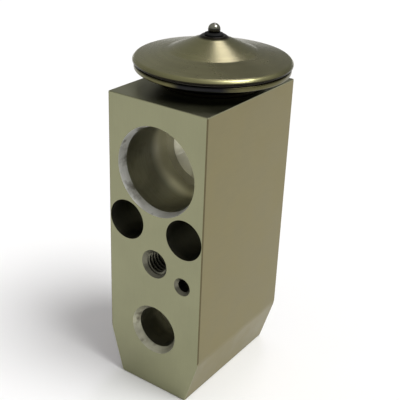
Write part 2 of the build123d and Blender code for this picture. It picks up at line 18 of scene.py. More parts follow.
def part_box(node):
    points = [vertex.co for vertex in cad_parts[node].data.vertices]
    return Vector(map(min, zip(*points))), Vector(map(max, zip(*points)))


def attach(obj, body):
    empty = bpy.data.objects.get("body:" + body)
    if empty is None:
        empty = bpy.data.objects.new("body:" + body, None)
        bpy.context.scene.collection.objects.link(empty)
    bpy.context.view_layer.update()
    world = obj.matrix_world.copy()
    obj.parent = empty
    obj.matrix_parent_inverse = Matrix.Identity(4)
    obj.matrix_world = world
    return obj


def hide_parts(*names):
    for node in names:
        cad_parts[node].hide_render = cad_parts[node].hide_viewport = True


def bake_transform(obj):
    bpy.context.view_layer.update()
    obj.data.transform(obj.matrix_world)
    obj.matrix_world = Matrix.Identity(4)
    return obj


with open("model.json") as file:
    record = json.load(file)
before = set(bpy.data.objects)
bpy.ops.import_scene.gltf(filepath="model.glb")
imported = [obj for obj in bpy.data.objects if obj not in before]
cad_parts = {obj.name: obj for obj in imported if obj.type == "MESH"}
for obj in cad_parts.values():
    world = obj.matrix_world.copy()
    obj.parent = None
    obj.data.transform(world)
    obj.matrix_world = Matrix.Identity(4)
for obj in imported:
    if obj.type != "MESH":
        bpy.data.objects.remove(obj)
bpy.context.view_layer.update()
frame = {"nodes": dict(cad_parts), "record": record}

MM = 0.001
MICRON = 1e-6

# How far a cutting tool stands out of the piece that it cuts.
OVERRUN = 1 * MM
# How far from a hole's drilled wall its thread may still count as its wall.
THREAD_REACH = 0.6 * MM
# How many faces go round a turned piece: a small one, a usual one and the wide head.
SMALL_ROUND, USUAL_ROUND, BASE_ROUND, CAP_ROUND = 96, 128, 160, 192
# The part of a noise's values that is stretched over its whole effect.
NOISE_SPAN = (0.3, 0.7)

LOG = logging.getLogger("expansion_valve")

Colour = tuple[float, float, float]
Direction = tuple[float, float, float]
Span = tuple[float, float]
Steps = tuple[tuple[float, float], ...]
Socket = bpy.types.NodeSocket
Piece = bpy.types.Object
Materials = dict[str, bpy.types.Material]


class Lay(Enum):
    """Which way a surface's tool marks run."""

    ALONG_Y = "drawn lines along Y"
    ALONG_Z = "cutter lines up the face"
    ROUND_Y = "rings about a bore along Y"
    ROUND_Z = "rings about the valve axis"
    NONE = "an even grain"


class Joint(Enum):
    """What combining two closed meshes leaves."""

    CUT = "DIFFERENCE"
    ADD = "UNION"
    SHARED = "INTERSECT"


@dataclass(frozen=True)
class Corner:
    """A corner of a turned outline: its radius, its height and how far it is rounded."""

    radius: float
    height: float
    rounding: float = 0.0


@dataclass(frozen=True)
class Mount:
    """A bore or hole that the frame's record gives, or a pair of them side by side."""

    place: Vector
    radius: float
    spacing: float

    @staticmethod
    def named(name: str) -> "Mount":
        """Find a mount in the frame's record.

        Args:
            name: The mount's name.

        Returns:
            Its place, radius and spacing.
        """
        row = next(row for row in frame["record"]["mounts"] if row["name"] == name)
        dims = row["dims"]
        radius = dims.get("r_mm", dims.get("hole_r_mm", 0.0)) * MM
        return Mount(Vector(row["pos_m"]), radius, dims.get("spacing_x_mm", 0.0) * MM)


def deselect() -> None:
    """Deselect every object."""
    bpy.ops.object.select_all(action="DESELECT")


def activate(piece: Piece) -> None:
    """Make piece the only selected object and the active one."""
    deselect()
    piece.select_set(True)
    bpy.context.view_layer.objects.active = piece


def name_new(name: str) -> Piece:
    """Give the primitive that was just added its name, and return it."""
    piece = bpy.context.object
    piece.name = piece.data.name = name
    return piece


def apply_all(piece: Piece) -> None:
    """Apply every modifier of a piece."""
    activate(piece)
    for modifier in list(piece.modifiers):
        bpy.ops.object.modifier_apply(modifier=modifier.name)


def settle(piece: Piece) -> None:
    """Move a piece's place, turn and scale into its mesh."""
    activate(piece)
    bpy.ops.object.transform_apply(location=True, rotation=True, scale=True)


def pick_vertices(piece: Piece, test: Callable[[Vector], bool]) -> None:
    """Select the vertices of a mesh in edit mode by their place.

    Args:
        piece: The object in edit mode.
        test: Says whether a place is picked.
    """
    bpy.ops.mesh.select_mode(type="VERT")
    bpy.ops.mesh.select_all(action="DESELECT")
    mesh = bmesh.from_edit_mesh(piece.data)
    for vertex in mesh.verts:
        vertex.select_set(test(vertex.co))
    mesh.select_flush_mode()
    bmesh.update_edit_mesh(piece.data)


def near(place: Vector) -> Callable[[Vector], bool]:
    """Return a test for the one point at that place."""
    return lambda point: (point - place).length < MICRON / 10


def cut_off(height: float, outwards: Vector, x: float = 0.0) -> None:
    """Cut a closed mesh in edit mode by a plane, and close what stays.

    Args:
        height: The height of a point of the plane.
        outwards: The plane's normal, which points to what is cut off.
        x: How far along X that point lies.
    """
    bpy.ops.mesh.select_all(action="SELECT")
    bpy.ops.mesh.bisect(
        plane_co=(x, 0, height), plane_no=outwards, use_fill=True, clear_outer=True, threshold=MICRON / 10
    )


def trim(low: float, high: float) -> None:
    """Cut a closed mesh in edit mode off square at two heights."""
    cut_off(low, Vector((0, 0, -1)))
    cut_off(high, Vector((0, 0, 1)))


def chain(name: str, radii: Sequence[float], heights: Sequence[float], base: float = 0.0) -> Piece:
    """Draw a chain of edges in the XZ plane, and stay in edit mode.

    Args:
        name: The new object's name.
        radii: How far each point lies from the valve axis.
        heights: How high each point lies over the base.
        base: The height of the base.

    Returns:
        The object that holds the chain.
    """
    deselect()
    bpy.ops.mesh.primitive_plane_add(size=MM)
    piece = name_new(name)
    bpy.ops.object.mode_set(mode="EDIT")
    bpy.ops.mesh.select_all(action="SELECT")
    bpy.ops.mesh.merge(type="COLLAPSE")
    bpy.ops.transform.translate(value=(radii[0], 0, base + heights[0]))
    for index in range(1, len(radii)):
        step = (radii[index] - radii[index - 1], 0, heights[index] - heights[index - 1])
        bpy.ops.mesh.extrude_vertices_move(TRANSFORM_OT_translate={"value": step})
    return piece


def round_corners(piece: Piece, corners: Sequence[Corner]) -> None:
    """Round the corners of an outline in edit mode by their own radii.

    Args:
        piece: The object that holds the outline.
        corners: The outline's corners in order.
    """
    per_segment = math.radians(9)
    fewest_segments = 3
    for index, corner in enumerate(corners):
        if not corner.rounding:
            continue
        place = Vector((corner.radius, 0, corner.height))
        sides = (corners[index - 1], corners[(index + 1) % len(corners)])
        arms = [Vector((side.radius, 0, side.height)) - place for side in sides]
        inside = arms[0].angle(arms[1])
        segments = max(fewest_segments, math.ceil((math.pi - inside) / per_segment))
        offset = corner.rounding / math.tan(inside / 2)
        pick_vertices(piece, near(place))
        bpy.ops.mesh.bevel(offset=offset, segments=segments, affect="VERTICES", profile=0.5)


def turned(name: str, corners: Sequence[Corner], steps: int = USUAL_ROUND) -> Piece:
    """Model a turned piece by spinning its outline about the valve axis.

    Args:
        name: The new object's name.
        corners: The outline's corners in order, from axis to axis or all the way round.
        steps: How many faces go round the piece.

    Returns:
        The closed piece, with its faces pointing outwards.
    """
    piece = chain(name, [corner.radius for corner in corners], [corner.height for corner in corners])
    if corners[0].radius > 0:
        ends = [near(Vector((corner.radius, 0, corner.height))) for corner in (corners[0], corners[-1])]
        pick_vertices(piece, lambda point: any(end(point) for end in ends))
        bpy.ops.mesh.edge_face_add()
    round_corners(piece, corners)
    bpy.ops.mesh.select_all(action="SELECT")
    bpy.ops.mesh.spin(steps=steps, angle=math.tau, center=(0, 0, 0), axis=(0, 0, 1))
    bpy.ops.mesh.select_all(action="SELECT")
    bpy.ops.mesh.remove_doubles(threshold=MICRON / 2)
    bpy.ops.mesh.normals_make_consistent(inside=False)
    bpy.ops.object.mode_set(mode="OBJECT")
    return piece


@dataclass(frozen=True)
class Thread:
    """A screw thread about the valve axis, whose root may reach into the wall that it joins."""

    crest_r: float
    depth: float = 0.5 * MM
    overlap: float = 0.1 * MM
    pitch: float = 1 * MM
    steps: int = 48

    def rod(self, name: str, low: float, high: float) -> Piece:
        """Model a plain rod with this thread, cut off square at both ends.

        Args:
            name: The new object's name.
            low: The height of the lower end.
            high: The height of the upper end.

        Returns:
            The closed rod.
        """
        root_flat, flank = self.pitch / 4, self.pitch * 5 / 16
        start = math.floor((low - 1.5 * self.pitch) / self.pitch) * self.pitch
        root_r = self.crest_r - (self.depth + self.overlap)
        heights = (0.0, root_flat, root_flat + flank, self.pitch - flank, self.pitch)
        rod = chain(name, (root_r, root_r, self.crest_r, self.crest_r, root_r), heights, start)
        bpy.ops.object.mode_set(mode="OBJECT")
        screw = rod.modifiers.new("thread", "SCREW")
        screw.screw_offset = self.pitch
        screw.iterations = math.ceil((high - start) / self.pitch) + 2
        screw.steps = screw.render_steps = self.steps
        apply_all(rod)
        bpy.ops.object.mode_set(mode="EDIT")
        bpy.ops.mesh.select_all(action="SELECT")
        bpy.ops.mesh.remove_doubles(threshold=MICRON / 2)
        trim(low, high)
        bpy.ops.mesh.select_all(action="SELECT")
        bpy.ops.mesh.normals_make_consistent(inside=False)
        bpy.ops.object.mode_set(mode="OBJECT")
        return rod


def combine(piece: Piece, tool: Piece, joint: Joint = Joint.CUT) -> None:
    """Cut a tool out of a piece, or join it on, and remove the tool.

    Args:
        piece: The piece that changes.
        tool: The closed mesh that is cut out or joined on.
        joint: What is left of the two.
    """
    boolean = piece.modifiers.new("cut", "BOOLEAN")
    boolean.operation = joint.value
    boolean.solver = "EXACT"
    boolean.object = tool
    apply_all(piece)
    mesh = tool.data
    bpy.data.objects.remove(tool, do_unlink=True)
    bpy.data.meshes.remove(mesh)


def smooth(piece: Piece) -> None:
    """Shade a piece smooth over its blunt edges, with its large faces kept flat.

    Args:
        piece: The piece that is shaded.
    """
    blunt_deg = 34.0
    activate(piece)
    bpy.ops.object.shade_smooth_by_angle(angle=math.radians(blunt_deg))
    weighted = piece.modifiers.new("flat faces", "WEIGHTED_NORMAL")
    weighted.mode = "FACE_AREA"
    weighted.weight = 50
    weighted.keep_sharp = True
    apply_all(piece)


class Graph:
    """A node tree, with short calls that add and join nodes."""

    def __init__(self, tree: bpy.types.NodeTree) -> None:
        """Start on a node tree, which is emptied."""
        self.nodes = tree.nodes
        self.links = tree.links
        self.nodes.clear()
        self.coordinates = self.nodes.new("ShaderNodeTexCoord")

    def feed(self, socket: Socket, value: object) -> None:
        """Join value to socket if it is an output, and otherwise set the socket to it."""
        if isinstance(value, bpy.types.NodeSocket):
            self.links.new(value, socket)
        else:
            socket.default_value = value

    def node(self, kind: str, inputs: dict[str | int, object], **settings: object) -> bpy.types.Node:
        """Add a node.

        Args:
            kind: The node's kind, in the program's own word.
            inputs: What each input is joined to or set to.
            settings: The node's own settings.

        Returns:
            The new node.
        """
        node = self.nodes.new("ShaderNode" + kind)
        for name, value in settings.items():
            setattr(node, name, value)
        for name, value in inputs.items():
            self.feed(node.inputs[name], value)
        return node

    def scaled(self, vector: Socket, scale: Sequence[float]) -> Socket:
        """Return the vector with each part multiplied by its scale."""
        return self.node("Mapping", {"Vector": vector, "Scale": scale}).outputs["Vector"]

    def math(self, operation: str, *values: object) -> Socket:
        """Return the result of one maths operation on numbers or outputs."""
        return self.node("Math", dict(enumerate(values)), operation=operation).outputs["Value"]

    def along(self, vector: Socket, axis: Sequence[float]) -> Socket:
        """Return how far a vector reaches along an axis."""
        return self.node("VectorMath", {0: vector, 1: axis}, operation="DOT_PRODUCT").outputs["Value"]

    def ramp(self, value: Socket, span: Span, result: Span = (0.0, 1.0)) -> Socket:
        """Return value with its span stretched smoothly over result, and clamped."""
        limits = {"From Min": span[0], "From Max": span[1], "To Min": result[0], "To Max": result[1]}
        return self.node("MapRange", {"Value": value, **limits}, interpolation_type="SMOOTHSTEP").outputs[0]

    def mixed(self, share: object, first: object, second: object) -> Socket:
        """Return a colour between first and second."""
        ends = [(*end, 1.0) if isinstance(end, tuple) else end for end in (first, second)]
        return self.node("Mix", {0: share, 6: ends[0], 7: ends[1]}, data_type="RGBA").outputs[2]


class Surface(Graph):
    """The node tree of one material: a shader, and object coordinates in millimetres."""

    def __init__(self, name: str) -> None:
        """Start a material of that name."""
        self.material = bpy.data.materials.new(name)
        self.material.use_nodes = True
        super().__init__(self.material.node_tree)
        self.shader = self.nodes.new("ShaderNodeBsdfPrincipled")
        self.node("OutputMaterial", {"Surface": self.shader.outputs["BSDF"]})
        self.place = self.scaled(self.coordinates.outputs["Object"], (1 / MM,) * 3)

    def give(self, **values: object) -> None:
        """Join or set the shader's inputs, each named with low lines for its spaces."""
        for name, value in values.items():
            self.feed(self.shader.inputs[name.replace("_", " ")], value)

    def axes(self) -> tuple[Socket, ...]:
        """Return X, Y and Z of the place, in millimetres."""
        split = self.node("SeparateXYZ", {"Vector": self.place})
        return tuple(split.outputs[axis] for axis in "XYZ")

    def noise(self, per_mm: Sequence[float], detail: float, source: Socket | None = None) -> Socket:
        """Return noise from 0 to 1 that varies so many times in a millimetre on each axis."""
        place = self.scaled(source or self.place, per_mm)
        return self.node("TexNoise", {"Vector": place, "Scale": 1.0, "Detail": detail}).outputs[0]

    def bump(self, height: Socket, depth: float) -> None:
        """Roughen the shader's normal by a height from 0 to 1 that is depth metres at 1."""
        node = self.node("Bump", {"Strength": 1.0, "Distance": depth, "Height": height})
        self.give(Normal=node.outputs["Normal"])

    def marks(self, lay: Lay, pitch: float) -> Socket:
        """Return tool marks from 0 to 1.

        Args:
            lay: Which way the marks run.
            pitch: The usual width of a mark, in millimetres.

        Returns:
            The output that holds the marks.
        """
        fine, long = 1.0 / pitch, 0.06 / pitch
        straight = {
            Lay.ALONG_Y: ((fine, long, fine), 3.0),
            Lay.ALONG_Z: ((fine, fine, long), 3.0),
            Lay.ROUND_Y: ((long, fine, long), 2.0),
            Lay.NONE: ((fine, fine, fine), 3.0),
        }
        if lay in straight:
            return self.noise(*straight[lay])
        x, y, z = self.axes()
        radius = self.math("SQRT", self.math("ADD", self.math("MULTIPLY", x, x), self.math("MULTIPLY", y, y)))
        joined = self.node("CombineXYZ", {"X": radius, "Z": z})
        return self.noise((fine, fine, fine), 2.0, joined.outputs["Vector"])


@dataclass(frozen=True)
class Metal:
    """A bare metal surface with its tool marks, stains and small differences of tone.

    Pitch and patches are in millimetres, and depths, spans and heights in metres. A span
    runs from where its colour starts to where it is full. Besides its stains, a finish may carry
    painted light, a painted dark reflection and painted shade, each set by place.
    """

    name: str
    colour: Colour
    roughness: float
    lay: Lay = Lay.NONE
    pitch: float = 0.25
    mark_depth: float = 2 * MICRON
    mark_tone: float = 0.06
    patch_tone: float = 0.05
    patch_per_mm: float = 0.09
    roughness_swing: float = 0.12
    stain: Colour = (0.05, 0.045, 0.03)
    stain_share: float = 0.0
    anisotropy: float = 0.0
    metallic: float = 1.0
    # Painted light: the lighter colour that a wall turns to along Y over each of these spans.
    painted_light: Colour = (0.78, 0.76, 0.6)
    painted_light_spans: tuple[Span, ...] = ()
    # Painted dark reflection: a dark colour over a band across X, where all these spans overlap.
    painted_dark_reflection: Colour = (0.02, 0.02, 0.021)
    painted_dark_reflection_spans: tuple[Span, ...] = ()
    # Painted shade: dark bands by height, under the cap's rim, under the base's flange and on the ball's
    # lower half, and one over the cap's crown round the plug ball.
    painted_shade: Colour = (0.02, 0.018, 0.012)
    painted_shade_spans: tuple[Span, ...] = ()

    def toned(self, graph: Surface, marks: Socket, patches: Socket) -> Socket:
        """Return the metal's colour, a little darker and lighter in its marks and patches.

        Args:
            graph: The material's node tree.
            marks: The tool marks, from 0 to 1.
            patches: The patches, from 0 to 1.

        Returns:
            The output that holds the colour.
        """
        tone = graph.math(
            "ADD",
            graph.ramp(marks, NOISE_SPAN, (-self.mark_tone, self.mark_tone)),
            graph.ramp(patches, NOISE_SPAN, (-self.patch_tone, self.patch_tone)),
        )
        lightest, darkest = 1.5, 0.5
        light = tuple(min(1.0, part * lightest) for part in self.colour)
        dark = tuple(part * darkest for part in self.colour)
        return graph.mixed(graph.math("ADD", tone, 0.5), dark, light)

    def aged_with_painted_light(self, graph: Surface, colour: Socket, patches: Socket) -> Socket:
        """Return a colour with this finish's stains, painted light, painted dark reflection and painted
        shade.

        Args:
            graph: The material's node tree.
            colour: The clean metal's colour.
            patches: The patches, from 0 to 1.

        Returns:
            The output that holds the colour.
        """
        if self.stain_share:
            spots_per_mm, spot_span = (0.35, 0.35, 0.35), (0.5, 0.75)
            spots = graph.ramp(graph.noise(spots_per_mm, 6.0), spot_span, (0, self.stain_share))
            colour = graph.mixed(spots, colour, self.stain)
        # Painted light: lighter further along Y.
        for start, full in self.painted_light_spans:
            depth = graph.ramp(graph.axes()[1], (start / MM, full / MM))
            colour = graph.mixed(depth, colour, self.painted_light)
        # Painted dark reflection: dark across a band in X, with ragged edges.
        if self.painted_dark_reflection_spans:
            place = graph.math("ADD", graph.axes()[0], graph.ramp(patches, NOISE_SPAN, (-1.0, 1.0)))
            shares = (graph.ramp(place, (start / MM, full / MM)) for start, full in self.painted_dark_reflection_spans)
            colour = graph.mixed(graph.math("MULTIPLY", *shares), colour, self.painted_dark_reflection)
        # Painted shade: darker over each band of height.
        for start, full in self.painted_shade_spans:
            share = graph.ramp(graph.axes()[2], (start / MM, full / MM))
            colour = graph.mixed(share, colour, self.painted_shade)
        return colour

    def material(self) -> bpy.types.Material:
        """Make the material of this finish.

        Returns:
            The material.
        """
        graph = Surface(self.name)
        marks = graph.marks(self.lay, self.pitch)
        patches = graph.noise((self.patch_per_mm,) * 3, 4.0)
        swing = tuple(self.roughness * (1 + side * self.roughness_swing) for side in (-1, 1))
        graph.give(
            Base_Color=self.aged_with_painted_light(graph, self.toned(graph, marks, patches), patches),
            Metallic=self.metallic,
            Roughness=graph.ramp(patches, NOISE_SPAN, swing),
        )
        if self.anisotropy:
            tangent = graph.node("Tangent", {}, direction_type="RADIAL", axis="Z")
            graph.give(Anisotropic=self.anisotropy, Tangent=tangent.outputs["Tangent"])
        graph.bump(marks, self.mark_depth)
        return graph.material


@dataclass(frozen=True)
class Rubber:
    """Moulded black rubber with a dusty bloom."""

    name: str
    colour: Colour
    roughness: float
    bloom: Colour = (0.09, 0.088, 0.08)
    specular: float = 0.5

    def material(self) -> bpy.types.Material:
        """Make the material of this finish.

        Returns:
            The material.
        """
        graph = Surface(self.name)
        most_dust = 0.5
        dust = graph.ramp(graph.noise((0.8, 0.8, 0.8), 5.0), (0.45, 0.75), (0, most_dust))
        graph.give(
            Base_Color=graph.mixed(dust, self.colour, self.bloom),
            Roughness=graph.ramp(dust, (0, most_dust), (self.roughness, 0.9)),
            Specular_IOR_Level=self.specular,
        )
        graph.bump(graph.noise((9, 9, 9), 3.0), 4 * MICRON)
        return graph.material


def finishes() -> dict[str, Metal | Rubber]:
    """List the valve's finishes, with their heights taken from the frame.

    Returns:
        Each finish by its name.
    """
    flange_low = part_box("valve_block")[1].z + PowerElement.flange_underside
    cap_low, crown = (corner.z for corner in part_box("power_element_cap"))
    ball_low, ball_high = (corner.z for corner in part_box("charge_plug_ball"))
    rim = cap_low + PowerElement.rim_lift
    # How far the painted shade blends in above and below the cap's rim and the flange's underside.
    rim_shade_blend, flange_shade_blend = 0.06 * MM, 0.15 * MM
    drilled = {"lay": Lay.ROUND_Y, "mark_depth": 2 * MICRON}
    polished = {"pitch": 0.3, "mark_depth": 0.5 * MICRON}
    return {
        "extruded": Metal(
            "extruded_skin", (0.243, 0.214, 0.112), 0.42, Lay.ALONG_Y, 0.35, 0.6 * MICRON, 0.01, 0.06, 0.14
        ),
        "milled": Metal(
            "milled_face", (0.272, 0.272, 0.168), 0.34, Lay.ALONG_Z, 0.3, 0.5 * MICRON, 0.01, 0.05
        ),
        # Painted shade: a darker colour on the broken upright edges, standing in for the dark line that their
        # chamfer reflects.
        "edge_painted_shade": Metal("edge_painted_shade", (0.15, 0.13, 0.07), 0.5, pitch=0.2),
        "bored": Metal(
            "bored_wall", (0.28, 0.275, 0.21), 0.42, **drilled, stain_share=0.2,
            # Painted light: the bore walls are lighter behind y = -6.5 mm, blending in from y = -10 mm.
            painted_light_spans=((-10 * MM, -6.5 * MM),),
        ),
        "lead_in": Metal(
            "turned_lead_in", (0.76, 0.75, 0.64), 0.45, **drilled, pitch=0.2, mark_tone=0.04,
            patch_tone=0.16, patch_per_mm=0.2, stain=(0.1, 0.085, 0.05), stain_share=0.82, metallic=0.4,
        ),
        "inlet_lead_in": Metal(
            "turned_inlet_lead_in", (0.46, 0.45, 0.34), 0.42, **drilled, pitch=0.2, mark_tone=0.04,
            patch_tone=0.2, patch_per_mm=0.28, stain=(0.07, 0.05, 0.03), stain_share=0.9, metallic=0.7,
        ),
        "spot_faced": Metal("spot_faced_step", (0.48, 0.46, 0.36), 0.45, pitch=0.3, stain_share=0.2),
        "cored": Metal("drilled_wall", (0.24, 0.235, 0.18), 0.4, Lay.ROUND_Y, 0.3, 3 * MICRON),
        "tapped": Metal("tapped_hole", (0.17, 0.165, 0.125), 0.4, **drilled, pitch=0.2),
        "reamed": Metal("reamed_wall", (0.46, 0.44, 0.35), 0.24, Lay.ROUND_Z),
        "cap_steel": Metal(
            "cap_steel", (0.255, 0.245, 0.125), 0.27, Lay.ROUND_Z, 0.45, 0.6 * MICRON, 0.05, 0.06,
            anisotropy=0.4,
            # Painted shade: the first band darkens the cap below its rolled rim; the second darkens the crown
            # round the plug ball.
            painted_shade_spans=((rim + rim_shade_blend, rim - rim_shade_blend), (crown - 0.7 * MM, crown - 0.3 * MM)),
        ),
        # Painted shade: the base's colour is a darker copy of the cap's stainless, and it goes darker still
        # below the flange's underside.
        "base_stainless_painted_shade": Metal(
            "base_stainless_painted_shade", (0.118, 0.11, 0.052), 0.3, Lay.ROUND_Z, 0.4, MICRON, 0.05,
            painted_shade_spans=((flange_low + flange_shade_blend, flange_low - flange_shade_blend),),
            # Painted dark reflection: the base goes dark between about 4.5 and 11.5 mm along X.
            painted_dark_reflection_spans=((1.5 * MM, 4.5 * MM), (14.5 * MM, 11.5 * MM)),
        ),
        # Painted shade: the ball's colour is a darker copy of the bright steel, and its lower half is painted
        # darker still, standing in for the dark bead that it reflects.
        "plug_ball_painted_shade": Metal(
            "plug_ball_painted_shade", (0.3, 0.3, 0.24), 0.14, **polished,
            painted_shade_spans=((ball_low * 0.3 + ball_high * 0.7, ball_low * 0.45 + ball_high * 0.55),),
        ),
        "bright_steel": Metal("bright_steel", (0.5, 0.49, 0.45), 0.16, **polished),
        "spring_steel": Metal("spring_steel", (0.32, 0.32, 0.3), 0.3, pitch=0.2, mark_depth=MICRON),
        "dark_steel": Metal("dark_steel", (0.06, 0.055, 0.045), 0.4, pitch=0.2, mark_depth=MICRON),
        "rod_aluminium": Metal("rod_aluminium", (0.5, 0.49, 0.45), 0.28, Lay.ROUND_Z, 0.2, 3 * MICRON),
        "brass": Metal(
            "brass", (0.6, 0.42, 0.17), 0.28, Lay.ROUND_Z, 0.22, mark_tone=0.08, patch_tone=0.08
        ),
        "rubber": Rubber("black_rubber", (0.018, 0.018, 0.018), 0.55),
        "sealant": Rubber("dark_sealant", (0.008, 0.008, 0.008), 0.6, (0.02, 0.019, 0.016), 0.15),
    }


def dress(piece: Piece, *materials: bpy.types.Material) -> None:
    """Give a piece other materials in place of its own.

    Args:
        piece: The piece that is dressed.
        materials: Its new materials, in order.
    """
    piece.data.materials.clear()
    for material in materials:
        piece.data.materials.append(material)


def report(piece: Piece) -> None:
    """Log a finished piece."""
    LOG.info("%s: %d faces", piece.name, len(piece.data.polygons))


def stand_in(piece: Piece, node: str, body: str) -> None:
    """Let a finished piece stand for a node of the frame.

    Args:
        piece: The finished piece.
        node: The node that it replaces.
        body: The body that it rides on.
    """
    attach(piece, body)
    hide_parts(node)
    report(piece)


@dataclass(frozen=True)
class PlainHole:
    """A hole along Y from one face of the block.

    Its steps are the depth and radius of each corner, the first at the face. They end at
    radius 0 where the hole has a drill point.
    """

    name: str
    x: float
    z: float
    from_front: bool
    steps: Steps
    wall: str = "bored"
    mouth: str = "lead_in"

    def finish(self, centre: Vector, normal: Vector, face_y: float) -> str | None:
        """Return the finish of a face that lies in this hole, or nothing for another face.

        Args:
            centre: The middle of the face.
            normal: Which way it points.
            face_y: Where the block's face lies that the hole starts from.

        Returns:
            The name of the finish.
        """
        depth = centre.y - face_y if self.from_front else face_y - centre.y
        radius = math.hypot(centre.x - self.x, centre.z - self.z)
        reach = max(step_r for _, step_r in self.steps) + THREAD_REACH
        if depth > self.steps[-1][0] + MICRON or radius > reach:
            return None
        if abs(normal.y) > 0.99:
            return "spot_faced"
        is_mouth = len(self.steps) > 1 and depth < self.steps[1][0]
        return self.mouth if is_mouth else self.wall

    def tool(self, face_y: float) -> Piece:
        """Model the closed mesh that cuts this hole.

        Args:
            face_y: Where the block's face lies that the hole starts from.

        Returns:
            The tool, in its place.
        """
        corners = [Corner(0, -OVERRUN), Corner(self.steps[0][1], -OVERRUN)]
        corners += [Corner(radius, depth) for depth, radius in self.steps]
        if self.steps[-1][1] > 0:
            corners.append(Corner(0, self.steps[-1][0]))
        tool = turned(self.name, corners)
        tool.rotation_euler = (math.radians(-90 if self.from_front else 90), 0, 0)
        tool.location = (self.x, face_y, self.z)
        settle(tool)
        return tool


@dataclass(frozen=True)
class Port:
    """The sizes of a stepped port: its cone-shaped mouth, its seat and the way on from it."""

    flare: float
    cone: float
    depth: float
    passage_r: float

    def steps(self, radius: float, end: float) -> Steps:
        """Return the steps of a port of that radius whose passage ends at that depth."""
        mouth = ((0.0, radius + self.flare), (self.cone, radius))
        return (*mouth, (self.depth, radius), (self.depth, self.passage_r), (end, self.passage_r))


